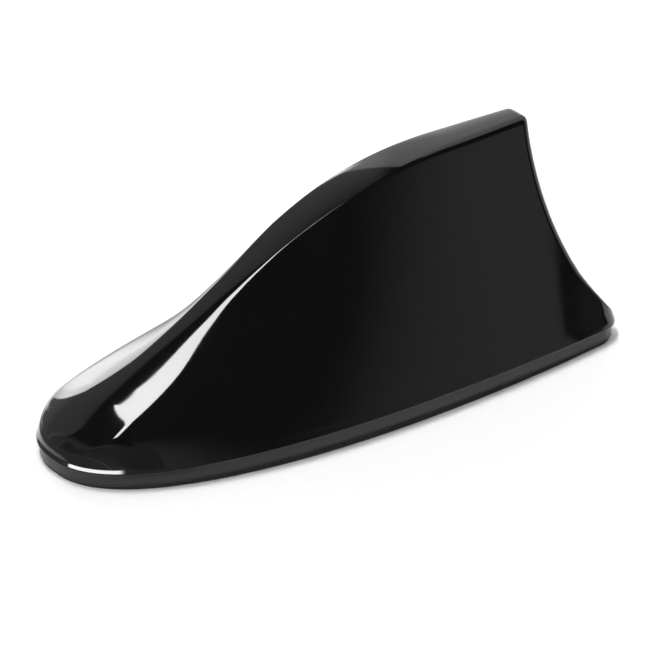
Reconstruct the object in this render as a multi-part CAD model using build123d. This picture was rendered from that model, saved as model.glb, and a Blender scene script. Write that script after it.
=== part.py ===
from build123d import *
import math
import os

# Shark fin roof aerial, in millimetres.
# X runs from the nose to the tail, Z is up, and the origin lies on the roof under the middle of the base.

# Footprint: the outline of the base seal on the roof
foot_length = 165.0
foot_width = 70.4
widest_from_nose = 94.6
nose_bluntness = 2.1
nose_squareness = 2.42
tail_narrowing = 5.2
tail_corner_radius = 9.2

# Base stack: foam pad, rubber seal and base plate
roof_sag = 1.3
pad_edge_thickness = 0.5
pad_inset = 0.4
pad_hole_clearance = 1.5
seal_height = 3.8
seal_thickness = 2.2
plate_fit = 0.1
plate_thickness = 2.2
lip_inset = 5.0
lip_thickness = 1.5
lip_height = 2.5

# Fin cover
cover_height = 60.0
cover_overhang = 0.8
cover_wall = 2.2
rim_radius = 1.6
rim_lean = 0.6
rim_fullness = 0.75
ramp_slope = 0.556
ramp_foot_height = 7.0
nose_swell = 7.5
nose_swell_length = 48.0
nose_round_drop = 8.0
nose_round_length = 16.0
top_radius = 125.0
spine_half_width_waist = 3.3
spine_waist_from_nose = 36.0
spine_half_width_middle = 5.95
spine_middle_from_nose = 95.0
spine_half_width_rear = 4.0
spine_rear_from_nose = 151.0
spine_nose_share = 0.6
spine_nose_sharpness = 2.8
spine_widest_share = 0.9
spine_crown = 0.3
crease_run = 0.9
crease_spine_spread = 1.9
crease_flank_spread = 10.8
crease_spread_length = 73.0
crease_spine_share = 0.7
crease_flank_share = 0.9
flank_lean = 30.0
flank_bulge_nose = 0.11
flank_bulge_rear = 0.012
flank_bulge_place = 0.4
flank_bulge_from_nose = 42.0
flank_bulge_fade = 18.0
tail_radius = 56.5
tail_waist_height = 44.2
tail_waist_inset = 16.2

# Screws that hold the cover to the base plate
cover_screw_diameter = 2.9
cover_screw_length = 9.0
cover_screw_head_diameter = 5.6
cover_screw_head_height = 1.8
cover_screw_from_nose = 38.5
cover_screw_front_y = 13.0
cover_screw_from_tail = 24.5
cover_screw_rear_y = 18.0
boss_diameter = 7.0
tower_height = 2.6
screw_clearance = 0.1
head_recess = 0.2

# Circuit board and what stands on it
board_length = 72.0
board_width = 26.0
board_thickness = 1.6
board_lift = 5.0
board_behind_coil = 12.0
board_hole_inset = 4.0
board_corner_radius = 1.5
standoff_diameter = 6.0
board_screw_diameter = 2.5
board_screw_length = 5.5
board_screw_head_diameter = 4.6
board_screw_head_height = 1.6
can_length = 20.0
can_width = 16.0
can_height = 3.4
can_sheet = 0.3
can_from_front = 25.0
chip_side = 5.0
chip_height = 0.9
inductor_side = 4.0
inductor_base_height = 1.0
inductor_drum_diameter = 3.6
inductor_drum_height = 2.0
capacitor_size = (2.0, 1.25, 1.0)
resistor_size = (1.6, 0.8, 0.5)
passive_count = 5
passive_pitch = 3.2
passive_gap = 1.0
socket_body = 6.0
socket_height = 5.0
socket_barrel_diameter = 4.4
socket_barrel_length = 5.0
socket_bore_diameter = 2.6

# Aerial element: coil on a former, with a sheet plate on its head
coil_from_tail_waist = 28.0
former_diameter = 7.2
former_sides = 6
former_flange_rim = 0.65
former_flange_thickness = 2.0
former_peg_diameter = 2.0
former_peg_offset = 4.2
former_spigot_diameter = 5.0
former_spigot_shortest = 5.0
former_stud_diameter = 2.4
former_stud_height = 0.8
former_above_coil = 1.5
coil_wire_diameter = 1.1
coil_pitch = 5.0
coil_fit = 0.1
terminal_diameter = 2.2
plate_sheet = 0.5
plate_length = 36.0
plate_top_width = 6.4
plate_skirt = 9.0
plate_skirt_angle = 60.0
plate_clear_of_cover = 2.0

# Rubber grommet for the lead
grommet_from_nose = 38.5
grommet_bore_diameter = 4.0
grommet_neck_diameter = 8.0
grommet_flange_diameter = 12.0
grommet_flange_thickness = 1.2
grommet_seat_depth = 0.3

foot_half_width = foot_width / 2
nose_x = -foot_length / 2
tail_x = foot_length / 2
roof_radius = (tail_x**2 + roof_sag**2) / (2 * roof_sag)
plate_top = pad_edge_thickness + roof_sag + plate_thickness
tower_top = plate_top + tower_height
board_bottom = plate_top + board_lift
board_top = board_bottom + board_thickness
cover_nose_x = nose_x - cover_overhang
cover_tail_x = tail_x + cover_overhang
tail_waist_x = tail_x - tail_waist_inset
coil_x = tail_waist_x - coil_from_tail_waist
board_rear_x = coil_x + board_behind_coil
board_front_x = board_rear_x - board_length
can_x = board_front_x + can_from_front
grommet_x = nose_x + grommet_from_nose

# Cutting shapes run this far past what they cut
cut_reach = 20.0

# Round things and blocks that stand on a height
upright = (Align.CENTER, Align.CENTER, Align.MIN)


def roof_rise(x):
    """Height of the arched underside of the seal above its ends."""
    return roof_sag - roof_radius + math.sqrt(roof_radius**2 - x**2)


def half_width(x, inset):
    """Half the plan width at x of the outline that lies inset inside the footprint."""
    from_nose = x - nose_x - inset
    full = foot_half_width - inset
    front = widest_from_nose - inset
    if from_nose < front:
        share = max(from_nose / front, 0.0)
        return full * (1 - (1 - share)**nose_bluntness)**(1 / nose_squareness)
    behind = (from_nose - front) / (foot_length - widest_from_nose)
    return full - tail_narrowing * behind**2


def outline(inset):
    """Plan outline that lies inset inside the footprint: a blunt nose, full sides and a square tail."""
    nose = nose_x + inset
    tail = tail_x - inset
    steps = 10
    stations = [nose + (tail - nose) * (i / steps)**2 for i in range(1, steps + 1)]
    side_points = [(nose, 0.0)] + [(x, half_width(x, inset)) for x in stations]
    with BuildSketch() as plan:
        with BuildLine():
            side = Spline(*side_points)
            mirror(side, about=Plane.XZ)
            Line(side @ 1, (tail, -side_points[-1][1]))
        make_face()
        fillet(plan.vertices().group_by(Axis.X)[-1], radius=tail_corner_radius - inset)
    return plan.sketch


def slab(inset, bottom, top):
    """Plate of the footprint's shape between two heights."""
    return Pos(0, 0, bottom) * extrude(outline(inset), amount=top - bottom)


def post(x, y, diameter, bottom, top):
    """Upright cylinder between two heights."""
    return Pos(x, y, bottom) * Cylinder(diameter / 2, top - bottom, align=upright)


def block(x, y, length, width, bottom, top):
    """Upright block between two heights, centred on x and y."""
    return Pos(x, y, bottom) * Box(length, width, top - bottom, align=upright)


def under_arch(lift):
    """Block of everything below the arched surface that starts lift above the roof."""
    reach = tail_x + cut_reach
    with BuildSketch(Plane.XZ) as side_view:
        with BuildLine():
            crown = ThreePointArc(
                (-reach, lift + roof_rise(reach)), (0, lift + roof_sag), (reach, lift + roof_rise(reach))
            )
            Polyline(crown @ 1, (reach, -cut_reach), (-reach, -cut_reach), crown @ 0)
        make_face()
    return extrude(side_view.sketch, amount=foot_half_width + cut_reach, both=True)


def spine_height(x):
    """Height of the middle of the spine: round swollen nose, straight ramp, large arc, level rear."""
    from_nose = x - cover_nose_x
    rounding = 1 - min(max(from_nose / nose_round_length, 0.0), 1.0)
    swell = nose_swell * max(1 - from_nose / nose_swell_length, 0.0)**2
    swell -= nose_round_drop * (1 - math.sqrt(1 - rounding**2))
    ramp_stretch = math.hypot(1, ramp_slope)
    level_from = (top_radius * ramp_stretch + cover_height - top_radius - ramp_foot_height) / ramp_slope
    ramp_to = level_from - top_radius * ramp_slope / ramp_stretch
    if from_nose < ramp_to:
        return ramp_foot_height + ramp_slope * from_nose + swell
    if from_nose < level_from:
        return cover_height - top_radius + math.sqrt(top_radius**2 - (from_nose - level_from)**2)
    return cover_height


def spine_half_width(x, side):
    """Half the width of the flat on the spine, which narrows to a waist and spreads out on the nose."""
    from_nose = x - nose_x
    rise = (from_nose - spine_waist_from_nose) / (spine_middle_from_nose - spine_waist_from_nose)
    rise = min(max(rise, 0.0), 1.0)
    fall = max((from_nose - spine_middle_from_nose) / (spine_rear_from_nose - spine_middle_from_nose), 0.0)
    width = spine_half_width_waist
    width += (spine_half_width_middle - spine_half_width_waist) * rise**2 * (3 - 2 * rise)
    width -= (spine_half_width_middle - spine_half_width_rear) * fall**2
    spread = max(1 - from_nose / spine_waist_from_nose, 0.0)**spine_nose_sharpness
    return width * (1 - spread) + spine_nose_share * side * spread


def flank_control(x, foot, crease):
    """Control point of the flank's curve from foot to crease, which bows out more and lower on the nose."""
    fade = (1 - math.tanh((x - nose_x - flank_bulge_from_nose) / flank_bulge_fade)) / 2
    bulge = flank_bulge_rear + flank_bulge_nose * fade
    place = 0.5 + (flank_bulge_place - 0.5) * fade
    chord = crease - foot
    return foot + chord * place + Vector(chord.Y, -chord.X) * (2 * bulge)


def cover_section(x, skin):
    """Cross section of the fin at x, moved in by the thickness skin."""
    side = half_width(x, skin - cover_overhang)
    edge = min(rim_radius, side / 2)
    foot_z = pad_edge_thickness + seal_height + roof_rise(x) + rim_radius
    top = spine_height(x) - skin
    narrowing = 1 - skin * math.tan(math.radians(flank_lean)) / spine_half_width_waist
    width = min(spine_half_width(x, side) * narrowing, spine_widest_share * (side - edge))
    spread = max(1 - (x - nose_x) / crease_spread_length, 0.0)
    corner = min(crease_run + crease_spine_spread * spread, crease_spine_share * width)
    flat = width - corner
    flat_z = top - spine_crown * (flat / spine_half_width_middle)**2
    slope = 2 * spine_crown * flat / spine_half_width_middle**2
    crease = Vector(width, flat_z - slope * corner)
    foot = Vector(side - rim_lean * edge, foot_z)
    control = flank_control(x, foot, crease)
    fall = control - crease
    run = min(crease_run + crease_flank_spread * spread, crease_flank_share * fall.length)
    flank_end = crease + fall.normalized() * run
    with BuildSketch(Plane.YZ.offset(x)) as ring:
        with BuildLine() as half:
            Line((side, 0), (side, foot_z - edge))
            Bezier((side, foot_z - edge), (side, foot_z - (1 - rim_fullness) * edge), foot)
            Bezier(foot, control, flank_end)
            Bezier(flank_end, crease, (flat, flat_z))
            mirror(half.line, about=Plane.YZ)
            ThreePointArc((flat, flat_z), (0, top), (-flat, flat_z))
            Line((-side, 0), (side, 0))
        make_face()
    return ring.sketch


def tail_corner_trim(inset):
    """What lies outside the two rounded tail corners of the outline that is inset inside the footprint."""
    tail = tail_x - inset
    side = half_width(tail, inset)
    lean = math.atan(half_width(tail - 1, inset) - side)
    radius = tail_corner_radius - inset
    run = radius * math.tan((math.pi / 2 - lean) / 2)
    start = (tail - run * math.cos(lean), side + run * math.sin(lean))
    end = (tail, side - run)
    hub = Vector(tail - radius, side - run)
    peak = hub + (Vector(tail, side) - hub).normalized() * radius
    far_x = tail + cut_reach
    far_y = side + cut_reach
    with BuildSketch() as trim:
        with BuildLine():
            ThreePointArc(start, peak, end)
            Polyline(end, (far_x, end[1]), (far_x, far_y), (start[0], far_y), start)
        make_face()
        mirror(about=Plane.XZ)
    return extrude(trim.sketch, amount=cover_height)


def fin_body(skin):
    """Solid fin with its concave tail, moved in by the thickness skin; its sections crowd to the nose."""
    start = cover_nose_x + skin
    reach = cover_tail_x - start
    nose_flat = 0.02
    steps = 24
    crowding = 1.6
    stations = [start + nose_flat] + [start + reach * (i / steps)**crowding for i in range(1, steps + 1)]
    fin = loft([cover_section(x, skin) for x in stations], ruled=True)
    tail_drum = Rot(90, 0, 0) * Cylinder(tail_radius + skin, 4 * foot_half_width)
    fin -= Pos(tail_waist_x + tail_radius, 0, tail_waist_height) * tail_drum
    return fin - tail_corner_trim(skin - cover_overhang)


grommet_seat = pad_edge_thickness + roof_rise(grommet_x) + grommet_seat_depth
flange_top = board_top + former_flange_thickness
former_corner = math.pi / former_sides
coil_radius = former_diameter / 2 + (coil_fit + coil_wire_diameter / 2) / math.cos(former_corner)
coil_start = flange_top + coil_fit + coil_wire_diameter / 2
plate_ends = (coil_x - plate_length / 2, coil_x + plate_length / 2)
sheet_top = min(spine_height(x) for x in plate_ends) - cover_wall - plate_clear_of_cover
spigot_top = sheet_top - plate_sheet
coil_room = spigot_top - former_spigot_shortest - former_above_coil - coil_start
coil_turns = int(coil_room / coil_pitch)
former_shoulder = coil_start + coil_pitch * coil_turns + former_above_coil


def cover_screw_places():
    """Places of the four screws that hold the cover."""
    front_x = nose_x + cover_screw_from_nose
    rear_x = tail_x - cover_screw_from_tail
    front = [(front_x, side * cover_screw_front_y) for side in (-1, 1)]
    rear = [(rear_x, side * cover_screw_rear_y) for side in (-1, 1)]
    return front + rear


def board_screw_places():
    """Places of the four screws at the corners of the board."""
    row = board_width / 2 - board_hole_inset
    ends = (board_front_x + board_hole_inset, board_rear_x - board_hole_inset)
    return [(x, y) for x in ends for y in (-row, row)]


def head_floor(x):
    """Height of the underside of a cover screw's head, just inside the base plate."""
    return pad_edge_thickness + roof_rise(x) + head_recess


def make_fin_cover():
    """Moulded fin: a hollow shell with four screw bosses under its skin."""
    solid_fin = fin_body(0.0)
    cover = solid_fin - fin_body(cover_wall) - under_arch(pad_edge_thickness + seal_height)
    for x, y in cover_screw_places():
        cover += post(x, y, boss_diameter, tower_top, cover_height) & solid_fin
    for x, y in cover_screw_places():
        tip = head_floor(x) + cover_screw_head_height + cover_screw_length
        cover -= post(x, y, cover_screw_diameter + screw_clearance, 0, tip + screw_clearance)
    return cover


def make_base_seal():
    """Rubber band round the base, arched to follow the roof."""
    top = pad_edge_thickness + seal_height
    band = slab(0, 0, top + cut_reach) - slab(seal_thickness, 0, top + cut_reach)
    return (band & under_arch(top)) - under_arch(pad_edge_thickness)


def make_adhesive_pad():
    """Foam pad: flat below, arched above, with a hole for the lead."""
    pad = slab(pad_inset, 0, cut_reach) & under_arch(pad_edge_thickness)
    hole = grommet_flange_diameter + 2 * pad_hole_clearance
    return pad - post(grommet_x, 0, hole, 0, cut_reach)


def make_base_plate():
    """Moulded base: plate with a lip, screw towers and board standoffs."""
    edge = seal_thickness + plate_fit
    plate = slab(edge, 0, plate_top) - under_arch(pad_edge_thickness)
    lip_top = plate_top + lip_height
    plate += slab(lip_inset, plate_top, lip_top) - slab(lip_inset + lip_thickness, plate_top, lip_top)
    for x, y in cover_screw_places():
        plate += post(x, y, boss_diameter, plate_top, tower_top)
    for x, y in board_screw_places():
        plate += post(x, y, standoff_diameter, plate_top, board_bottom)
    for x, y in cover_screw_places():
        head_top = head_floor(x) + cover_screw_head_height
        plate -= post(x, y, cover_screw_diameter + screw_clearance, 0, tower_top)
        plate -= post(x, y, cover_screw_head_diameter + screw_clearance, 0, head_top)
    for x, y in board_screw_places():
        tip = board_top - board_screw_length
        plate -= post(x, y, board_screw_diameter + screw_clearance, tip - screw_clearance, board_bottom)
    plate -= post(grommet_x, 0, grommet_neck_diameter, 0, plate_top)
    return plate - post(grommet_x, 0, grommet_flange_diameter + screw_clearance, 0, grommet_seat)


def make_cover_screws():
    """Four screws, from below, through the base plate into the cover."""
    screws = []
    for x, y in cover_screw_places():
        head_top = head_floor(x) + cover_screw_head_height
        head = post(x, y, cover_screw_head_diameter, head_floor(x), head_top)
        screws.append(head + post(x, y, cover_screw_diameter, head_top, head_top + cover_screw_length))
    return Compound(children=screws)


def make_lead_grommet():
    """Rubber grommet: two flanges and a neck round the lead's bore."""
    flange_top = plate_top + grommet_flange_thickness
    flange_bottom = grommet_seat - grommet_flange_thickness
    grommet = post(grommet_x, 0, grommet_flange_diameter, flange_bottom, grommet_seat)
    grommet += post(grommet_x, 0, grommet_neck_diameter, grommet_seat, plate_top)
    grommet += post(grommet_x, 0, grommet_flange_diameter, plate_top, flange_top)
    return grommet - post(grommet_x, 0, grommet_bore_diameter, flange_bottom, flange_top)


def make_circuit_board():
    """Board with rounded corners, screw holes and holes for the former's pegs."""
    middle_x = (board_front_x + board_rear_x) / 2
    board = block(middle_x, 0, board_length, board_width, board_bottom, board_top)
    board = fillet(board.edges().filter_by(Axis.Z), board_corner_radius)
    for x, y in board_screw_places():
        board -= post(x, y, board_screw_diameter + screw_clearance, board_bottom, board_top)
    for side in (-1, 1):
        hole = former_peg_diameter + screw_clearance
        board -= post(coil_x, side * former_peg_offset, hole, board_bottom, board_top)
    return board


def make_board_screws():
    """Four screws that hold the board on its standoffs."""
    screws = []
    for x, y in board_screw_places():
        shank = post(x, y, board_screw_diameter, board_top - board_screw_length, board_top)
        head_top = board_top + board_screw_head_height
        screws.append(shank + post(x, y, board_screw_head_diameter, board_top, head_top))
    return Compound(children=screws)


def make_shield_can():
    """Sheet metal can over the amplifier."""
    top = board_top + can_height
    inner_length = can_length - 2 * can_sheet
    inner_width = can_width - 2 * can_sheet
    can = block(can_x, 0, can_length, can_width, board_top, top)
    return can - block(can_x, 0, inner_length, inner_width, board_top, top - can_sheet)


def make_amplifier_chip():
    """Amplifier chip under the can."""
    return block(can_x, 0, chip_side, chip_side, board_top, board_top + chip_height)


def make_filter_inductors():
    """Two wound drum cores between the can and the coil."""
    x = can_x + can_length / 2 + inductor_side
    base_top = board_top + inductor_base_height
    drums = []
    for side in (-1, 1):
        y = side * inductor_side
        base = block(x, y, inductor_side, inductor_side, board_top, base_top)
        drums.append(base + post(x, y, inductor_drum_diameter, base_top, base_top + inductor_drum_height))
    return Compound(children=drums)


def make_passive_row(size, side):
    """Row of small chip parts along one side of the can."""
    length, width, height = size
    y = side * (can_width / 2 + passive_gap + width / 2)
    first_x = can_x - (passive_count - 1) / 2 * passive_pitch
    places = [first_x + i * passive_pitch for i in range(passive_count)]
    return Compound(children=[block(x, y, length, width, board_top, board_top + height) for x in places])


def make_lead_socket():
    """Push-on socket for the lead, at the front end of the board."""
    body_x = board_front_x + socket_body / 2
    middle_z = board_top + socket_height / 2
    socket = block(body_x, 0, socket_body, socket_body, board_top, board_top + socket_height)
    barrel = Cylinder(socket_barrel_diameter / 2, socket_barrel_length, align=upright)
    barrel -= Cylinder(socket_bore_diameter / 2, socket_barrel_length, align=upright)
    return socket + Pos(board_front_x, 0, middle_z) * Rot(0, -90, 0) * barrel


def make_coil_former():
    """Six-sided plastic post with a foot, two pegs in the board and a stud on its head."""
    flange_diameter = 2 * (coil_radius + terminal_diameter / 2 + former_flange_rim)
    former = post(coil_x, 0, flange_diameter, board_top, flange_top)
    core = RegularPolygon(former_diameter / 2, former_sides)
    former += Pos(coil_x, 0, flange_top) * extrude(core, amount=former_shoulder - flange_top)
    former += post(coil_x, 0, former_spigot_diameter, former_shoulder, spigot_top)
    former += post(coil_x, 0, former_stud_diameter, spigot_top, sheet_top + former_stud_height)
    for side in (-1, 1):
        former += post(coil_x, side * former_peg_offset, former_peg_diameter, board_bottom, board_top)
    hole = terminal_diameter + screw_clearance
    return former - post(coil_x - coil_radius, 0, hole, board_top, coil_start - coil_wire_diameter / 2)


def make_coil_terminal():
    """Pin in the former's foot that carries the lower end of the coil."""
    return post(coil_x - coil_radius, 0, terminal_diameter, board_top, coil_start - coil_wire_diameter / 2)


def make_aerial_coil():
    """Wire coil that lies on the flats of the former and bends at its corners."""
    corners = []
    for i in range(coil_turns * former_sides + 1):
        angle = math.pi + 2 * former_corner * i
        rise = coil_pitch * i / former_sides
        corners.append((coil_radius * math.cos(angle), coil_radius * math.sin(angle), rise))
    path = Polyline(*corners)
    section = Plane(path @ 0, z_dir=path % 0) * Circle(coil_wire_diameter / 2)
    wire = sweep(section, path=path, transition=Transition.RIGHT)
    return Pos(coil_x, 0, coil_start) * wire


def make_capacity_plate():
    """Folded sheet on the head of the former, shaped like the inside of the fin."""
    fold = math.radians(plate_skirt_angle)
    run = plate_skirt * math.cos(fold)
    drop = plate_skirt * math.sin(fold)
    half = plate_top_width / 2
    inner = half - plate_sheet * math.tan(fold / 2)
    foot = half + run - plate_sheet / math.sin(fold)
    with BuildSketch(Plane.YZ.offset(coil_x - plate_length / 2)) as profile:
        with Locations((0, sheet_top)):
            Polygon((-half, 0), (half, 0), (half + run, -drop), (-half - run, -drop), align=None)
            inner_points = [(-inner, -plate_sheet), (inner, -plate_sheet), (foot, -drop), (-foot, -drop)]
            Polygon(*inner_points, align=None, mode=Mode.SUBTRACT)
    plate = extrude(profile.sketch, amount=plate_length)
    return plate - post(coil_x, 0, former_stud_diameter + screw_clearance, spigot_top, sheet_top)


makers = {
    "fin_cover": make_fin_cover,
    "base_seal": make_base_seal,
    "adhesive_pad": make_adhesive_pad,
    "base_plate": make_base_plate,
    "cover_screws": make_cover_screws,
    "lead_grommet": make_lead_grommet,
    "circuit_board": make_circuit_board,
    "board_screws": make_board_screws,
    "shield_can": make_shield_can,
    "amplifier_chip": make_amplifier_chip,
    "filter_inductors": make_filter_inductors,
    "chip_capacitors": lambda: make_passive_row(capacitor_size, 1),
    "chip_resistors": lambda: make_passive_row(resistor_size, -1),
    "lead_socket": make_lead_socket,
    "coil_former": make_coil_former,
    "coil_terminal": make_coil_terminal,
    "aerial_coil": make_aerial_coil,
    "capacity_plate": make_capacity_plate,
}

os.makedirs("parts", exist_ok=True)
for node, make in makers.items():
    export_step(make(), f"parts/{node}.step")
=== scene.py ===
# %% [markdown]
# # A shark fin aerial
# A shark fin aerial sits at the back of a car roof. Its gloss black cover is one thin moulding on a rubber
# seal, with a circuit board, a coil and a folded plate hidden inside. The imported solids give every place
# and size in metres. This lesson makes the two outer mouldings again with smoother skins, gives every piece
# a finish, and sets up a small white studio in which black gloss can be read.

# %% Load the frame
import bmesh
import bpy
import math
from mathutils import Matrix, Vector


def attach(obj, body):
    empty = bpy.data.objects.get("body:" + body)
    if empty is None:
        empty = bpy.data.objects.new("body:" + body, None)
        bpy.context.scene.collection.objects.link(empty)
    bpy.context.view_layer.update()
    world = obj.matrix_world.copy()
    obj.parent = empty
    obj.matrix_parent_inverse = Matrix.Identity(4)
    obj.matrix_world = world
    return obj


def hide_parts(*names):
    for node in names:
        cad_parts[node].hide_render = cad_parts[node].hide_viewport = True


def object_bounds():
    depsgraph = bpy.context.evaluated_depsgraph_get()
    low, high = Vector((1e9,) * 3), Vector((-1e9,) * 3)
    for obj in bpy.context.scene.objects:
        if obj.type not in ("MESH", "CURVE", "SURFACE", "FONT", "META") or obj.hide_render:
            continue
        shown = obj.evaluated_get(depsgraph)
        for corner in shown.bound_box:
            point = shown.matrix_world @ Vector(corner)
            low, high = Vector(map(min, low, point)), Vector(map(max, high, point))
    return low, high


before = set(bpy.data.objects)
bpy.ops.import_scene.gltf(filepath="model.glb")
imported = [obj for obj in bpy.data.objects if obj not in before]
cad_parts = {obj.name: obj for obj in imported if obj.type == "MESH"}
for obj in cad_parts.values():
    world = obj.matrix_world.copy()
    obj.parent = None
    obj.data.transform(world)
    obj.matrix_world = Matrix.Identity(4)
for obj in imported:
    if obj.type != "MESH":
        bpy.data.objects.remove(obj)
cad_box = [list(corner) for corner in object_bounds()]
MM = 0.001
print("CAD box in mm", [[round(value / MM, 1) for value in corner] for corner in cad_box])

# %% [markdown]
# ## The camera
# The photograph was taken with a long lens, from the nose end and a little above. A long lens far away
# keeps the sides nearly parallel. The angles below came from fitting the outline of the foot and the fin's
# edges.

# %% Camera
AZIMUTH = math.radians(-36.421)
ELEVATION = math.radians(28.665)
DISTANCE = 1.5
LENS = 312.5
SENSOR = 36.0
AIM = Vector((4.65, 0.0, 15.4)) * MM

camera_data = bpy.data.cameras.new("camera")
camera_data.sensor_width = SENSOR
camera_data.lens = LENS
camera = bpy.data.objects.new("camera", camera_data)
along_floor = math.cos(ELEVATION)
towards_camera = Vector((math.sin(AZIMUTH) * along_floor, -math.cos(AZIMUTH) * along_floor,
                         math.sin(ELEVATION)))
camera.location = AIM + towards_camera * DISTANCE
camera.rotation_euler = towards_camera.to_track_quat("Z", "Y").to_euler()
bpy.context.collection.objects.link(camera)
bpy.context.scene.camera = camera
print("camera at", [round(value, 3) for value in camera.location])

# %% [markdown]
# ## The foot
# A car roof is slightly arched, so the foot follows a very large circle. In plan the foot is a blunt nose
# that widens to the middle and narrows again to two rounded tail corners. It could be traced with a curve,
# but a formula with a few real sizes in millimetres gives its half width at any place, and moved in by any
# inset. These are the sizes that the solids were built from, so the smooth skin lies where the solid lies.

# %% Plan of the foot
foot_length = 165.0
foot_width = 70.4
widest_from_nose = 94.6
nose_bluntness = 2.1
nose_squareness = 2.42
tail_narrowing = 5.2
tail_corner_radius = 9.2
roof_sag = 1.3

foot_half_width = foot_width / 2
nose_x = -foot_length / 2
tail_x = foot_length / 2
roof_radius = (tail_x**2 + roof_sag**2) / (2 * roof_sag)


def roof_rise(x):
    """Height of the arched roof at x, above its lowest point under the foot."""
    return roof_sag - roof_radius + math.sqrt(roof_radius**2 - x**2)


def half_width(x, inset):
    """Half width of the foot before its tail corners are rounded."""
    from_nose = x - nose_x - inset
    full = foot_half_width - inset
    front = widest_from_nose - inset
    if from_nose < front:
        share = max(from_nose / front, 0.0)
        return full * (1 - (1 - share)**nose_bluntness)**(1 / nose_squareness)
    behind = (from_nose - front) / (foot_length - widest_from_nose)
    return full - tail_narrowing * behind**2


def plan_half_width(x, inset):
    """Half width of the foot with its tail corners, moved in by the inset or out by a negative one."""
    tail = tail_x - inset
    side = half_width(tail, inset)
    lean = math.atan(half_width(tail - 1, inset) - side)
    radius = tail_corner_radius - inset
    run = radius * math.tan((math.pi / 2 - lean) / 2)
    width = half_width(x, inset)
    beyond = x - (tail - radius)
    if x < tail - run * math.cos(lean):
        return width
    return min(width, side - run + math.sqrt(max(radius**2 - beyond**2, 0.0)))


stations = (-80, -40, 0, 40, 66)
for station in stations:
    print("at", station, "the foot is", round(2 * plan_half_width(station, 0), 1), "mm wide")

# %% [markdown]
# ## The spine
# Seen from the side, the spine climbs from a rounded nose along a straight ramp and levels out in one big
# arc. Seen from above, it is a narrow band with a waist behind the nose: it opens out to join the rounded
# nose, swells a little in the middle and narrows again to the tail.

# %% Line of the spine
cover_height = 60.0
cover_overhang = 0.8
ramp_slope = 0.556
ramp_foot_height = 7.0
nose_swell = 7.5
nose_swell_length = 48.0
nose_round_drop = 8.0
nose_round_length = 16.0
top_radius = 125.0
spine_half_width_waist = 3.3
spine_half_width_middle = 5.95
spine_half_width_rear = 4.0
spine_waist_from_nose = 36.0
spine_middle_from_nose = 95.0
spine_rear_from_nose = 151.0
spine_nose_share = 0.6
spine_nose_sharpness = 2.8

cover_nose_x = nose_x - cover_overhang


def spine_height(x):
    """Height of the middle of the spine."""
    from_nose = x - cover_nose_x
    rounding = 1 - min(max(from_nose / nose_round_length, 0.0), 1.0)
    swell = nose_swell * max(1 - from_nose / nose_swell_length, 0.0)**2
    swell -= nose_round_drop * (1 - math.sqrt(1 - rounding**2))
    stretch = math.hypot(1, ramp_slope)
    level_from = (top_radius * stretch + cover_height - top_radius - ramp_foot_height) / ramp_slope
    if from_nose < level_from - top_radius * ramp_slope / stretch:
        return ramp_foot_height + ramp_slope * from_nose + swell
    if from_nose < level_from:
        return cover_height - top_radius + math.sqrt(top_radius**2 - (from_nose - level_from)**2)
    return cover_height


def eased(share):
    """A share held between 0 and 1 that starts and ends gently."""
    share = min(max(share, 0.0), 1.0)
    return share**2 * (3 - 2 * share)


def spine_half_width(x, side):
    """Half width of the spine, which opens out to a share of the foot's half width, side, at the nose."""
    from_nose = x - nose_x
    rise = eased((from_nose - spine_waist_from_nose) / (spine_middle_from_nose - spine_waist_from_nose))
    fall = max((from_nose - spine_middle_from_nose) / (spine_rear_from_nose - spine_middle_from_nose), 0.0)
    width = spine_half_width_waist + (spine_half_width_middle - spine_half_width_waist) * rise
    width -= (spine_half_width_middle - spine_half_width_rear) * fall**2
    spread = max(1 - from_nose / spine_waist_from_nose, 0.0)**spine_nose_sharpness
    return width * (1 - spread) + spine_nose_share * side * spread


for station in stations:
    print("at", station, "the spine is", round(spine_height(station), 1), "mm high")

# %% [markdown]
# ## Flank and crease
# The flank falls from the spine to the rim. It is full at the nose and almost flat behind. Where it leaves
# the spine there is a crease, which is tight along the middle of the fin and fades out on the nose, so that
# the nose is one smooth dome. A bevel has one width, so the crease is drawn as part of the section instead,
# with a length of turn that changes from nose to tail. The crease is set a little tighter than in the
# solid, as the photograph shows it.

# %% Shape of the flank and the crease
flank_bulge_nose = 0.11
flank_bulge_rear = 0.012
flank_bulge_place = 0.4
flank_bulge_from_nose = 42.0
flank_bulge_fade = 18.0
crease_run_front = 0.9
crease_run_middle = 0.13
crease_run_rear = 1.8
crease_front_share = 0.25
crease_rear_x = 10.0
crease_rear_length = 40.0


def flank_control(x, foot, crease):
    """Control point of the flank's curve, which sets how far it stands out from the line foot to crease."""
    fade = (1 - math.tanh((x - nose_x - flank_bulge_from_nose) / flank_bulge_fade)) / 2
    bulge = flank_bulge_rear + flank_bulge_nose * fade
    place = 0.5 + (flank_bulge_place - 0.5) * fade
    chord = crease - foot
    return foot + chord * place + Vector((chord.y, -chord.x)) * (2 * bulge)


def crease_tightness(x, spread):
    """Length of the crease's turn before it spreads: short in the middle, longer at both ends."""
    front = min(spread / crease_front_share, 1.0)
    rear = eased((x - crease_rear_x) / crease_rear_length)
    tight = crease_run_middle + (crease_run_front - crease_run_middle) * front
    return tight + (crease_run_rear - crease_run_middle) * rear


def softly_limited(length, limit):
    """The length, bent smoothly so that it stays below the limit."""
    return (length**-4 + limit**-4)**-0.25


for station in stations:
    print("at", station, "the crease turns over", round(crease_tightness(station, 0.0), 2), "mm or more")

# %% [markdown]
# ## One cross section
# Cut across, half of the cover is a short rounded lip, a narrow rim that leans in, a long flank, a crease
# and half of the narrow spine. The lip, the flank, the crease and the spine are quadratic curves, so a
# point on the section needs only the number of its row, counted from the lip up to the middle of the spine.

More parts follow.
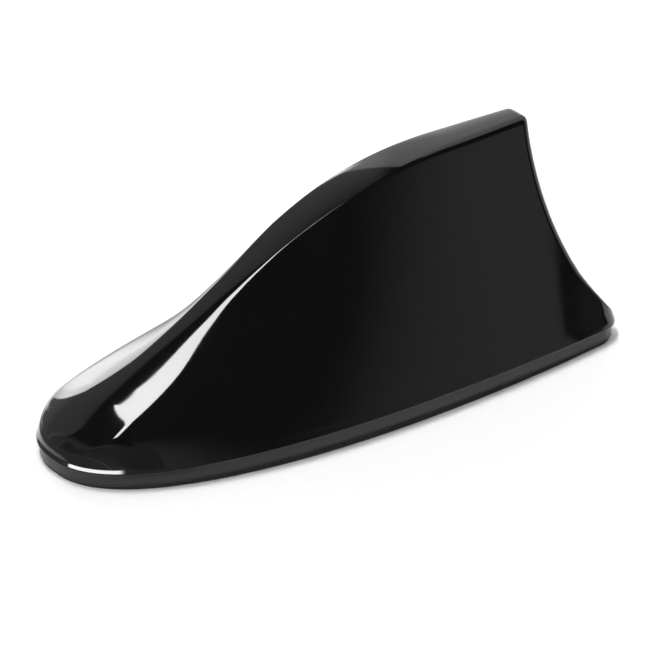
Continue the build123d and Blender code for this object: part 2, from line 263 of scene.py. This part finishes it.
# %% Lip and rim
pad_edge_thickness = 0.5
seal_height = 3.8
rim_height = 1.6
rim_inset_share = 0.28
LIP_RADIUS = 0.35
SECTION_ROWS = {"lip": 3, "rim": 5, "flank": 30, "crease": 16, "spine": 6}
ROWS = sum(SECTION_ROWS.values())
RIM_TOP = SECTION_ROWS["lip"] + SECTION_ROWS["rim"]
RIM_INSET = rim_inset_share * rim_height


def curve_point(start, control, end, share):
    return start * (1 - share)**2 + control * (2 * share * (1 - share)) + end * share**2


def under_height(x):
    """Height of the cover's underside, on top of the pad and the seal."""
    return pad_edge_thickness + seal_height + roof_rise(x)


def rim_share(row):
    """How far up the leaning rim a row is."""
    return min(max(row - SECTION_ROWS["lip"], 0) / SECTION_ROWS["rim"], 1.0)


def rim_point(x, row, skin):
    """Distance from the middle and height of a row of the lip or the rim."""
    up = rim_share(row)
    side = plan_half_width(x, skin - cover_overhang + RIM_INSET * up)
    lip = min(LIP_RADIUS, side / 4)
    if up:
        return Vector((side, under_height(x) + lip + (rim_height - lip) * up))
    corner = Vector((side, under_height(x)))
    lip_start = corner - Vector((lip, 0.0))
    lip_end = corner + Vector((0.0, lip))
    return curve_point(lip_start, corner, lip_end, row / SECTION_ROWS["lip"])


print("rows from lip to spine:", ROWS, "and the rim leans in by", round(RIM_INSET, 2), "mm")

# %% [markdown]
# ## Above the rim
# The flank, the crease and the spine share their end points and their directions there, so the skin has no
# kink between them. The inner skin uses the same code: its thickness moves the foot in, the spine down and
# the flank sideways by as much as its lean asks.

# %% Flank, crease and spine
flank_lean = math.radians(30)
flank_root_share = 0.6
spine_widest_share = 0.9
spine_crown = 0.3
crease_spread_length = 73.0
crease_spine_spread = 1.9
crease_flank_spread = 10.8
crease_spine_share = 0.7
crease_flank_share = 0.74


def upper_curves(x, skin):
    """Start, control and end of the flank's, the crease's and the spine's curve at x."""
    foot_z = under_height(x) + rim_height
    rim_side = plan_half_width(x, skin - cover_overhang + RIM_INSET)
    edge = min(rim_height, rim_side / 2)
    side = rim_side + rim_inset_share * edge
    top = spine_height(x - RIM_INSET * max(1 - (x - cover_nose_x) / nose_round_length, 0.0)) - skin
    narrowing = 1 - skin * math.tan(flank_lean) / spine_half_width_waist
    width = min(spine_half_width(x, side) * narrowing, spine_widest_share * (side - edge))
    spread = max(1 - (x - nose_x) / crease_spread_length, 0.0)
    tight = crease_tightness(x, spread)
    corner = min(tight + crease_spine_spread * spread, crease_spine_share * width)
    flat = width - corner
    flat_z = top - spine_crown * (flat / spine_half_width_middle)**2
    slope = 2 * spine_crown * flat / spine_half_width_middle**2
    crease = Vector((width, flat_z - slope * corner))
    control = flank_control(x, Vector((side - flank_root_share * edge, foot_z)), crease)
    fall = control - crease
    run = softly_limited(tight + crease_flank_spread * spread, crease_flank_share * fall.length)
    flank_end = crease + fall.normalized() * run
    spine_edge = Vector((flat, flat_z))
    spine_control = Vector((flat / 2, flat_z + slope * flat / 2))
    return {
        "flank": (Vector((rim_side, foot_z)), control, flank_end),
        "crease": (flank_end, crease, spine_edge),
        "spine": (spine_edge, spine_control, Vector((0.0, top))),
    }


def section_point(x, row, skin):
    """Distance from the middle and height of one row of the section at x, moved in by the thickness skin."""
    if row <= RIM_TOP:
        return rim_point(x, row, skin)
    row -= RIM_TOP
    for name, curve in upper_curves(x, skin).items():
        if row <= SECTION_ROWS[name]:
            return curve_point(*curve, row / SECTION_ROWS[name])
        row -= SECTION_ROWS[name]


for row in (0, RIM_TOP, ROWS):
    print("row", row, "of the middle section", [round(value, 1) for value in section_point(0.0, row, 0.0)])

# %% [markdown]
# ## The tail
# Behind, the cover is hollowed by one big drum that lies across the car, so the trailing edge is a clean
# arc and the tail kicks back over the roof. Every row of the skin is stretched until it ends exactly on
# that drum. The last two millimetres turn inwards, less near the foot, because no moulding has a knife edge
# and the turn is what catches the light. The drum lies about a millimetre further back than in the solid,
# to follow the photograph.

# %% Where each row ends
tail_radius = 55.0
tail_waist_height = 43.4
tail_waist_inset = 15.1
tail_waist_x = tail_x - tail_waist_inset
END_STEPS = 40


def drum_x(z, skin):
    """Place of the drum's face at a height, for a skin inside the outer one."""
    drum = tail_radius + skin
    return tail_waist_x + tail_radius - math.sqrt(drum**2 - (z - tail_waist_height)**2)


def row_end(row, skin):
    """Place where a row meets the drum or the end of the foot, found by halving the distance to it."""
    x = tail_waist_x
    for _ in range(END_STEPS):
        x = (x + min(drum_x(section_point(x, row, skin).y, skin), cad_box[1][0] / MM - skin)) / 2
    return x


print("the lip ends at", round(row_end(0, 0.0), 2), "mm and the spine at", round(row_end(ROWS, 0.0), 2), "mm")

# %% [markdown]
# ## A point of the skin
# The skin is a net of rows and columns. The columns crowd where the form turns fast, at the nose and the
# tail, so the net can stay light in between. The last few columns are the turned edge.

# %% Points of the skin
NOSE_FLAT = 0.02
NOSE_CROWDING = 2.2
COVER_TAIL_CROWDING = 1.3
EDGE_TURN = 2.2
LEAST_TURN_SHARE = 0.1
TURN_ROWS = 8
TURN_COLUMNS = 8
LENGTH_COLUMNS = 170
COLUMNS = LENGTH_COLUMNS + TURN_COLUMNS


def crowded(share, tail_crowding):
    """Share of the length that an even share of the columns reaches."""
    return 1 - (1 - share**NOSE_CROWDING)**tail_crowding


def outward(x, row, skin):
    """Direction out of the section at one of its rows."""
    if row == ROWS:
        return Vector((0.0, 1.0))
    along = section_point(x, row + 1, skin) - section_point(x, max(row - 1, 0), skin)
    return Vector((along.y, -along.x)).normalized()


def skin_point(column, row, skin, end):
    """Point of the fin's skin in millimetres: columns run from the nose to the tail."""
    start = cover_nose_x + skin + NOSE_FLAT + RIM_INSET * rim_share(row)
    turn_radius = EDGE_TURN * min(max((row - RIM_TOP) / TURN_ROWS, LEAST_TURN_SHARE), 1.0)
    length = end - turn_radius - start
    turn = max(column - LENGTH_COLUMNS, 0) / TURN_COLUMNS * math.pi / 2
    x = start + length * crowded(min(column / LENGTH_COLUMNS, 1.0), COVER_TAIL_CROWDING)
    x += turn_radius * math.sin(turn)
    point = section_point(x, row, skin)
    if column == 0:
        point.x = 0.0
    if turn:
        point -= outward(x, row, skin) * turn_radius * (1 - math.cos(turn))
        point.x = max(point.x, 0.0)
    return Vector((x, point.x, point.y))


print("columns from nose to tail:", COLUMNS)

# %% [markdown]
# ## The cover's skin
# The cover is a lofted skin with a crease that fades out on the nose, which no single operator gives. So a
# plain grid is made and every vertex is moved to its place: across, the grid goes over the fin from one lip
# to the other, and along, it goes from nose to tail. Bridging closes the two sides of the tail, and one
# face fills its top under the spine.

# %% One skin of the fin
MERGE_DISTANCE = 1e-7


def new_piece(name, mesh_maker, *values):
    """A new object at the origin, with the mesh that mesh_maker builds."""
    bm = bmesh.new()
    mesh_maker(bm, *values)
    mesh = bpy.data.meshes.new(name)
    bm.to_mesh(mesh)
    bm.free()
    piece = bpy.data.objects.new(name, mesh)
    bpy.context.collection.objects.link(piece)
    print(name, len(mesh.vertices), "vertices", len(mesh.polygons), "faces")
    return piece


def fin_sheet(bm, skin):
    """One skin of the fin, open below, with its tail closed."""
    ends = [row_end(row, skin) for row in range(ROWS + 1)]
    made = bmesh.ops.create_grid(bm, x_segments=COLUMNS, y_segments=2 * ROWS, size=1.0)["verts"]
    tail_row = {}
    for vert in made:
        column = round((vert.co.x + 1) / 2 * COLUMNS)
        across = round((vert.co.y + 1) * ROWS) - ROWS
        row = ROWS - abs(across)
        place = skin_point(column, row, skin, ends[row])
        if across < 0:
            place.y = -place.y
        vert.co = place * MM
        if column == COLUMNS:
            tail_row[vert] = across
    tail_edges = [edge for edge in bm.edges if edge.verts[0] in tail_row and edge.verts[1] in tail_row]
    spine_start = ROWS - SECTION_ROWS["spine"]
    sides = [edge for edge in tail_edges
             if max(ROWS - abs(tail_row[vert]) for vert in edge.verts) <= spine_start]
    bmesh.ops.bridge_loops(bm, edges=sides)
    cap = [vert for vert, across in tail_row.items() if ROWS - abs(across) >= spine_start]
    bmesh.ops.contextual_create(bm, geom=cap)
    bmesh.ops.remove_doubles(bm, verts=[vert for vert in made if vert.is_valid], dist=MERGE_DISTANCE)


# %% [markdown]
# ## The cover
# The real cover is a shell about two millimetres thick. Solidify could give it a wall, but the tail and the
# crease are tight, so the inner skin is made like the outer one, a wall further in. A last bridge closes
# the rim between the two, and the normals are then turned outwards on the closed shell.

# %% Fin cover
cover_wall = 2.2
COVER_SHARP_ANGLE = math.radians(45)


def fin_cover(bm):
    fin_sheet(bm, 0.0)
    bmesh.ops.recalc_face_normals(bm, faces=bm.faces[:])
    outer_rim = [edge for edge in bm.edges if edge.is_boundary]
    outer_faces = set(bm.faces)
    fin_sheet(bm, cover_wall)
    inner_faces = [face for face in bm.faces if face not in outer_faces]
    inner_rim = [edge for face in inner_faces for edge in face.edges if edge.is_boundary]
    print("open rims:", len(outer_rim), "and", len(set(inner_rim)), "edges")
    bmesh.ops.bridge_loops(bm, edges=outer_rim + list(set(inner_rim)))
    bmesh.ops.recalc_face_normals(bm, faces=bm.faces[:])
    for face in bm.faces:
        face.smooth = True


cover = new_piece("fin_skin", fin_cover)
cover.data.set_sharp_from_angle(angle=COVER_SHARP_ANGLE)
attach(cover, "root")
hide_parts("fin_cover")

# %% [markdown]
# ## The seal
# Between the cover and the roof runs a rubber band with rounded edges. A strip of the foot's outline is
# made from a grid, closed at the nose, given its thickness with solidify and rounded with bevel, as one
# would by hand.

# %% Base seal
seal_thickness = 2.2
SEAL_ROUNDING = 0.5
SEAL_SIDE_CELLS = 150
SEAL_TAIL_CELLS = 10
SEAL_TAIL_CROWDING = 1.6
SEAL_EDGE_ANGLE = math.radians(60)
SEAL_SHARP_ANGLE = math.radians(40)


def seal_outline(step):
    """Point of the foot's outline: steps run from the nose along one side, then across half of the tail."""
    if step <= SEAL_SIDE_CELLS:
        x = nose_x + foot_length * crowded(step / SEAL_SIDE_CELLS, SEAL_TAIL_CROWDING)
        return x, 0.0 if step == 0 else plan_half_width(x, 0.0)
    share = (step - SEAL_SIDE_CELLS) / SEAL_TAIL_CELLS
    return tail_x, plan_half_width(tail_x, 0.0) * (1 - share)


def seal_band(bm):
    half = SEAL_SIDE_CELLS + SEAL_TAIL_CELLS
    strip = bmesh.ops.create_grid(bm, x_segments=2 * half, y_segments=1, size=1.0)["verts"]
    for vert in strip:
        step = round((vert.co.x + 1) * half)
        x, y = seal_outline(min(step, 2 * half - step))
        z = pad_edge_thickness + roof_rise(x) + (seal_height if vert.co.y > 0 else 0.0)
        vert.co = Vector((x, y if step <= half else -y, z)) * MM
    bmesh.ops.remove_doubles(bm, verts=bm.verts[:], dist=MERGE_DISTANCE)
    bmesh.ops.recalc_face_normals(bm, faces=bm.faces[:])
    bmesh.ops.solidify(bm, geom=bm.faces[:], thickness=seal_thickness * MM)
    bmesh.ops.recalc_face_normals(bm, faces=bm.faces[:])
    long_edges = [edge for edge in bm.edges if edge.calc_face_angle(0.0) > SEAL_EDGE_ANGLE]
    print("edges to round:", len(long_edges))
    bmesh.ops.bevel(bm, geom=long_edges, offset=SEAL_ROUNDING * MM, offset_type="OFFSET", affect="EDGES",
                    segments=3, profile=0.5, material=-1, clamp_overlap=True)
    for face in bm.faces:
        face.smooth = True


seal = new_piece("seal_band", seal_band)
seal.data.set_sharp_from_angle(angle=SEAL_SHARP_ANGLE)
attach(seal, "root")
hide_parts("base_seal")

# %% [markdown]
# ## Finishes
# Every finish is a small node tree on Object coordinates, so that a pattern keeps its real size and stays
# where it is when the piece turns. One function adds a node with its settings and links. Colours are
# written as the screen shows them and turned to linear light once. The same pattern moves the colour, the
# roughness and a shallow relief, as it does on a real surface.

# %% Helpers for finishes
NOISE = "ShaderNodeTexNoise"
CELLS = "ShaderNodeTexVoronoi"
# The Mix node has a set of sockets for each kind of data, so its colour sockets go by their numbers
MIX_SHARE = 0
MIX_LOW = 6
MIX_HIGH = 7
MIX_COLOUR = 2


def linear(hex_colour):
    channels = [int(hex_colour[at:at + 2], 16) / 255 for at in (1, 3, 5)]
    return [c / 12.92 if c <= 0.04045 else ((c + 0.055) / 1.055)**2.4 for c in channels] + [1.0]


def add(tree, kind, settings=None, links=None):
    """A node of the given kind; settings name properties or inputs, links name inputs and their sources."""
    node = tree.nodes.new(kind)
    for key, value in (settings or {}).items():
        if isinstance(key, int) or key in node.inputs:
            node.inputs[key].default_value = value
        else:
            setattr(node, key, value)
    for key, source in (links or {}).items():
        tree.links.new(source, node.inputs[key])
    return node


def empty_material(name):
    """A new material and its node tree, with no nodes yet."""
    material = bpy.data.materials.new(name)
    material.use_nodes = True
    material.node_tree.nodes.clear()
    return material, material.node_tree


def finish(name, low, high, pattern, scale_mm, roughness, relief_mm=0.0, **sockets):
    """A finish whose colour and roughness wander between two values along one pattern of a real size."""
    material, tree = empty_material(name)
    place = add(tree, "ShaderNodeTexCoord").outputs["Object"]
    texture = add(tree, pattern, {"Scale": 1.0 / (scale_mm * MM)}, {"Vector": place})
    value = texture.outputs["Distance" if pattern == CELLS else 0]
    colour = add(tree, "ShaderNodeMix", {"data_type": "RGBA", MIX_LOW: linear(low), MIX_HIGH: linear(high)},
                 {MIX_SHARE: value})
    rough = add(tree, "ShaderNodeMapRange", {"To Min": roughness[0], "To Max": roughness[1]},
                {"Value": value})
    surface = add(tree, "ShaderNodeBsdfPrincipled", sockets,
                  {"Base Color": colour.outputs[MIX_COLOUR], "Roughness": rough.outputs["Result"]})
    if relief_mm:
        bump = add(tree, "ShaderNodeBump", {"Strength": 1.0, "Distance": relief_mm * MM}, {"Height": value})
        tree.links.new(bump.outputs["Normal"], surface.inputs["Normal"])
    add(tree, "ShaderNodeOutputMaterial", None, {"Surface": surface.outputs["BSDF"]})
    return material


def dress(piece, material):
    piece.data.materials.clear()
    piece.data.materials.append(material)


print("a middle grey is", round(linear("#808080")[0], 3), "in linear light")

# %% [markdown]
# ## Gloss black plastic
# The cover is ABS from a polished mould. Almost all of what the eye sees is the room mirrored in it, so the
# base colour is nearly black and the roughness is low. Moulded plastic is never quite flat: a very shallow
# unevenness a few millimetres wide bends the mirrored edges a little.

# %% Cover finish
gloss_black = finish("gloss_black_abs", "#0b0b0c", "#0f0f10", NOISE, 9.0, (0.04, 0.07),
                     relief_mm=0.004, IOR=1.5)
dress(cover, gloss_black)
print("cover finish", gloss_black.name)

# %% [markdown]
# ## Rubber, foam and matt plastic
# The seal is satin rubber with a fine grain from its mould. The pad is closed-cell foam, a pattern of small
# cells. The base plate is matt plastic, and the grommet is a softer, duller rubber.

# %% Seal, pad, plate and grommet
# Rubber from a smooth mould: a soft sheen that breaks up in a grain, drawn a little coarse so that it shows
seal_rubber = finish("satin_moulded_rubber", "#131314", "#1a1a1b", NOISE, 1.2, (0.28, 0.4),
                     relief_mm=0.01, IOR=1.47)
# Foam: no sheen at all, and the cut cells of its edge
pad_foam = finish("closed_cell_foam", "#1b1b1b", "#262626", CELLS, 0.9, (0.85, 0.95),
                  relief_mm=0.12, IOR=1.45)
# Plastic from an etched mould: an even, dull black
plate_plastic = finish("matt_moulded_plastic", "#1a1a1b", "#222223", NOISE, 0.8, (0.5, 0.65),
                       relief_mm=0.02, IOR=1.5)
# Soft rubber: duller and a little greyer than the seal
grommet_rubber = finish("dull_soft_rubber", "#1c1c1c", "#252525", NOISE, 0.7, (0.6, 0.75),
                        relief_mm=0.015, IOR=1.52)
dress(seal, seal_rubber)
print("seal finish", seal_rubber.name)

# %% [markdown]
# ## Metals
# Inside are zinc plated screws, tinned sheet steel, brass and copper, each a metal whose roughness wanders
# as it does after rolling, turning or drawing. A metal takes its colour from its mirror, so the base colour
# is bright.

# %% Metal finishes
# Zinc plating: a cool grey with a dull shine
zinc = finish("zinc_plated_steel", "#a9abb0", "#bcbec2", NOISE, 0.6, (0.28, 0.42),
              relief_mm=0.005, Metallic=1.0)
# Tinned sheet: paler and warmer, with the broad clouds of rolling
tinplate = finish("tinned_sheet_steel", "#b9b9b4", "#cbcbc6", NOISE, 2.5, (0.22, 0.38),
                  relief_mm=0.004, Metallic=1.0)
# Turned brass: yellow, bright and fine
brass = finish("turned_brass", "#c9a256", "#dbb869", NOISE, 0.5, (0.2, 0.35), relief_mm=0.004, Metallic=1.0)
# Drawn copper under clear enamel: a second, sharper shine over the metal's own
copper = finish("enamelled_copper_wire", "#b2642f", "#c67a45", NOISE, 1.5, (0.15, 0.3),
                relief_mm=0.003, Metallic=1.0, **{"Coat Weight": 0.6})
print("metals:", zinc.name, tinplate.name, brass.name, copper.name)

# %% [markdown]
# ## Board and chip parts
# The board is green solder resist over glass weave, and the small parts on it are resin, ferrite and glazed
# ceramic. The coil's former is natural nylon. All are hidden by the cover, and are finished for whoever
# opens it.

# %% Electronics
# Solder resist: a green varnish that follows the cells of the weave below it
laminate = finish("green_solder_resist", "#12502a", "#1a6236", CELLS, 0.5, (0.3, 0.4),
                  relief_mm=0.01, IOR=1.52)
# Moulded resin: charcoal, with the fine tooth of its filler
resin = finish("moulded_chip_resin", "#1d1d1d", "#272727", NOISE, 0.3, (0.55, 0.7), relief_mm=0.008, IOR=1.5)
# Pressed ferrite: dark grey, dry and grainy
ferrite = finish("pressed_ferrite", "#33343a", "#424349", CELLS, 0.25, (0.6, 0.75), relief_mm=0.01, IOR=1.8)
# Fired ceramic: tan, with a half-matt skin
tan_ceramic = finish("fired_tan_ceramic", "#a98a60", "#bb9c70", NOISE, 0.4, (0.4, 0.55),
                     relief_mm=0.006, IOR=1.6)
# Glaze: black and glassy
black_glaze = finish("black_resistor_glaze", "#202020", "#2c2c2c", NOISE, 0.4, (0.2, 0.3),
                     relief_mm=0.004, IOR=1.52)
# Natural nylon: a warm, milky white
natural_nylon = finish("natural_moulded_nylon", "#d8d3c4", "#e4dfd2", NOISE, 1.0, (0.4, 0.5),
                       relief_mm=0.01, IOR=1.53)
print("board finish", laminate.name)

# %% [markdown]
# ## Finishes on the solids
# The pieces that come straight from the solids keep their meshes. Only the material in each slot is
# changed.

# %% Dress the nodes
node_finishes = {
    "fin_cover": gloss_black, "base_seal": seal_rubber, "adhesive_pad": pad_foam,
    "base_plate": plate_plastic, "cover_screws": zinc, "lead_grommet": grommet_rubber,
    "circuit_board": laminate, "board_screws": zinc, "shield_can": tinplate,
    "amplifier_chip": resin, "filter_inductors": ferrite, "chip_capacitors": tan_ceramic,
    "chip_resistors": black_glaze, "lead_socket": brass, "coil_former": natural_nylon,
    "coil_terminal": brass, "aerial_coil": copper, "capacity_plate": tinplate,
}
for node, material in node_finishes.items():
    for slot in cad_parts[node].material_slots:
        slot.material = material
print("finishes on", len(node_finishes), "nodes")

# %% [markdown]
# ## The floor
# Black gloss is lit by what it mirrors, so the studio is part of the look. A white floor carries the
# object's soft shadow and gives the pale grey along the rim and the seal.

# %% Floor
FLOOR_RADIUS = 6.0
FLOOR_SIDES = 96


def floor_disc(bm):
    bmesh.ops.create_circle(bm, cap_ends=True, segments=FLOOR_SIDES, radius=FLOOR_RADIUS)


floor = new_piece("floor", floor_disc)
dress(floor, finish("matt_white_card", "#f6f6f6", "#f9f9f9", NOISE, 4.0, (0.9, 1.0), IOR=1.3))

# %% [markdown]
# ## Grey cards before the nose
# The dome of the nose mirrors a patch of the white floor, and it would show the bright low card a second
# time above the line on the rim. In a studio one lays a grey card there. Here one card lies round the nose
# on the floor and a low band stands before it. Both follow the outline of the foot and show in reflections
# only: the camera, the soft light and the shadows pass them by.

# %% Grey cards
CARD_STEPS = 40
CARD_GAP = 11.0
CARD_SWEEP = 42.0
CARD_MIDDLE_X = -40.0
CARD_REACH = 14.0
CARD_LIFT = 0.2
SHADE_GAP = 15.0
SHADE_SWEEP = 30.0
SHADE_MIDDLE = 0.4
SHADE_HALF = 0.6
SHADE_LOW = 8.5
SHADE_HIGH = 22.0


def nose_strip(bm):
    return bmesh.ops.create_grid(bm, x_segments=2 * CARD_STEPS, y_segments=1, size=1.0)["verts"]


def before_nose(across, gap, sweep):
    """Point that stands off from the cover's nose by the gap; across runs from -1 to 1 round the nose."""
    x = cover_nose_x - gap + NOSE_FLAT + sweep * across**2
    return x, math.copysign(plan_half_width(x, -cover_overhang - gap), -across)


def lying_card(bm):
    for vert in nose_strip(bm):
        x, y = before_nose(vert.co.x, CARD_GAP, CARD_SWEEP)
        reach = 1.0 if vert.co.y < 0 else CARD_REACH
        vert.co = Vector((CARD_MIDDLE_X + (x - CARD_MIDDLE_X) * reach, y * reach, CARD_LIFT)) * MM


def standing_band(bm):
    for vert in nose_strip(bm):
        x, y = before_nose(SHADE_MIDDLE + SHADE_HALF * vert.co.x, SHADE_GAP, SHADE_SWEEP)
        vert.co = Vector((x, y, SHADE_LOW if vert.co.y < 0 else SHADE_HIGH)) * MM


grey_paper = finish("matt_grey_card", "#7d7d7d", "#828282", NOISE, 4.0, (0.9, 1.0), IOR=1.3)
for name, mesh_maker in (("grey_card", lying_card), ("nose_shade", standing_band)):
    grey_card = new_piece(name, mesh_maker)
    grey_card.visible_camera = False
    grey_card.visible_diffuse = False
    grey_card.visible_shadow = False
    dress(grey_card, grey_paper)

# %% [markdown]
# ## Glowing cards
# An area lamp has hard edges in a mirror. A softbox or a lit wall has edges that fade, so each light here
# is a card that glows. A ramp at an edge lets the glow run out there, and the card is clear where it is
# dark, so that it hides nothing behind it.

# %% Helpers for cards
CARD_EDGES = {"left": ("X", -1), "right": ("X", 1), "low": ("Y", -1), "high": ("Y", 1)}
CARD_FOOT = 0.5


def card_sheet(bm, width, height, taper):
    """A flat card; taper moves its two lower corners in."""
    bmesh.ops.create_grid(bm, x_segments=1, y_segments=1, size=0.5)
    bmesh.ops.scale(bm, vec=(width, height, 1.0), verts=bm.verts[:])
    for vert in bm.verts:
        if vert.co.y < 0:
            vert.co.x += taper[0] if vert.co.x < 0 else -taper[1]


def card_glow(name, brightness, width, height, fades):
    """A clear, glowing material: a mirror shows its brightness, and fades are its edges' soft shares."""
    material, tree = empty_material(name)
    place = add(tree, "ShaderNodeTexCoord").outputs["Object"]
    axes = add(tree, "ShaderNodeSeparateXYZ", None, {"Vector": place})
    glow = add(tree, "ShaderNodeEmission", {"Strength": brightness})
    strength = None
    for edge, share in fades.items():
        axis, side = CARD_EDGES[edge]
        size = width if axis == "X" else height
        outer = side * size / 2
        inner = outer - side * share * size
        full = brightness if strength is None else 1.0
        ramp = add(tree, "ShaderNodeMapRange", {"interpolation_type": "SMOOTHSTEP", "From Min": outer,
                                                "From Max": inner, "To Max": full},
                   {"Value": axes.outputs[axis]}).outputs["Result"]
        if strength is None:
            strength = ramp
        else:
            product = add(tree, "ShaderNodeMath", {"operation": "MULTIPLY"}, {0: strength, 1: ramp})
            strength = product.outputs["Value"]
    if strength is not None:
        tree.links.new(strength, glow.inputs["Strength"])
    clear = add(tree, "ShaderNodeBsdfTransparent")
    both = add(tree, "ShaderNodeAddShader", None, {0: glow.outputs["Emission"], 1: clear.outputs["BSDF"]})
    add(tree, "ShaderNodeOutputMaterial", None, {"Surface": both.outputs["Shader"]})
    return material


def light_card(name, brightness, width, height, place, facing, turn=0.0, fades=None, taper=(0.0, 0.0)):
    """A glowing card in metres at a place, facing a direction and turned about it."""
    card = new_piece(name, card_sheet, width, height, taper)
    card.location = place
    card.rotation_euler = Vector(facing).to_track_quat("Z", "Y").to_euler()
    card.rotation_euler.rotate_axis("Z", turn)
    card.visible_camera = False
    dress(card, card_glow(name, brightness, width, height, fades or {}))
    return card


def upright_card(name, brightness, distance, right, left, high, fades, middle=(0.0, 0.0)):
    """A standing card that fills the given angles, in degrees, as seen from a place in the object."""
    towards = math.radians((right + left) / 2)
    width = 2 * distance * math.tan(math.radians((left - right) / 2))
    bottom = distance * math.tan(math.radians(CARD_FOOT))
    top = distance * math.tan(math.radians(high))
    place = (middle[0] * MM + distance * math.cos(towards), middle[1] * MM + distance * math.sin(towards),
             (bottom + top) / 2)
    facing = (-math.cos(towards), -math.sin(towards), 0.0)
    return light_card(name, brightness, width, top - bottom, place, facing, fades=fades)


print("each standing card starts", CARD_FOOT, "degrees above the floor")

# %% [markdown]
# ## Lights in place
# One narrow strip over the nose draws the white streak beside the crease. A long low card before the nose
# is the thin bright line on the rim. The panels behind make the pale leaf on the far side of the nose and
# the light on the far shoulder, and a card on the floor there lifts the far edge off the ground. Dimmer
# walls all round give the greys of the spine, the flank and the tail. Between them the room stays dark, so
# the flank stays black.

# %% Light cards
nose_part = (-60.0, 0.0)
fin_part = (40.0, 0.0)
tail_part = (70.0, -20.0)

light_card("strip_over_nose", 19.0, 0.38, 1.66, (-0.505, 0.053, 2.0), (0.0, 0.0, -1.0), math.radians(41.8),
           taper=(0.04, 0.14))
bounce = light_card("bounce_behind", 2.8, 1.1, 1.3, (0.45, 0.72, 0.0004), (0.0, 0.0, 1.0))
bounce.visible_diffuse = False
light_card("wall_right", 1.0, 5.92, 4.47, (1.88, 1.27, 0.99), (-0.94, -0.342, 0.0), math.radians(34.1))
upright_card("panel_behind", brightness=5.7, distance=1.5, right=63, left=86, high=34,
             fades={"right": 0.25, "low": 0.5, "high": 0.05}, middle=nose_part)
upright_card("low_card_behind", brightness=2.5, distance=1.5, right=84, left=93, high=9,
             fades={"left": 0.4, "right": 0.2, "high": 0.4}, middle=nose_part)
upright_card("glow_behind", brightness=1.3, distance=1.8, right=38, left=62, high=30,
             fades={"left": 0.1, "right": 0.1, "high": 0.5}, middle=fin_part)
upright_card("wall_front_right", brightness=0.38, distance=2.2, right=-85, left=-44.5, high=40,
             fades={"right": 0.95, "high": 0.5}, middle=tail_part)
upright_card("wall_left_behind", brightness=0.4, distance=2.6, right=60, left=130, high=60,
             fades={"right": 0.1, "high": 0.5})
upright_card("wall_left", brightness=0.3, distance=2.6, right=125, left=245, high=50,
             fades={"right": 0.1, "high": 0.4})
upright_card("wall_front_left", brightness=0.3, distance=2.6, right=245, left=285, high=45,
             fades={"left": 0.8, "high": 0.6})
light_card("low_front_card", 23.0, 2.3, 0.09, (-1.524, -0.396, 0.15), (0.966, 0.259, 0.0),
           math.radians(-5.35), fades={"left": 0.1, "right": 0.1})
upright_card("card_beside_tail", brightness=0.1, distance=2.2, right=-44.5, left=-32, high=14,
             fades={"right": 0.2, "high": 0.3}, middle=tail_part)

# %% [markdown]
# ## Even light and the room
# A very wide sun from above keeps the floor white and the shadow soft. It is left out of reflections, or it
# would put a bright spot on the gloss. The world beyond the cards is almost black.

# %% Even light, room and colours
TOP_LIGHT = 0.7
TOP_LIGHT_ANGLE = math.radians(60)
ROOM_GREY = 0.01

sky_data = bpy.data.lights.new("even_top_light", "SUN")
sky_data.energy = TOP_LIGHT
sky_data.angle = TOP_LIGHT_ANGLE
sky = bpy.data.objects.new("even_top_light", sky_data)
sky.visible_glossy = False
bpy.context.collection.objects.link(sky)

world = bpy.data.worlds.new("dark_room")
world.use_nodes = True
background = world.node_tree.nodes["Background"]
background.inputs["Color"].default_value = (ROOM_GREY, ROOM_GREY, ROOM_GREY, 1.0)
background.inputs["Strength"].default_value = 1.0
bpy.context.scene.world = world
bpy.context.scene.view_settings.view_transform = "Standard"
print("lamp", sky.name, "and world", world.name)
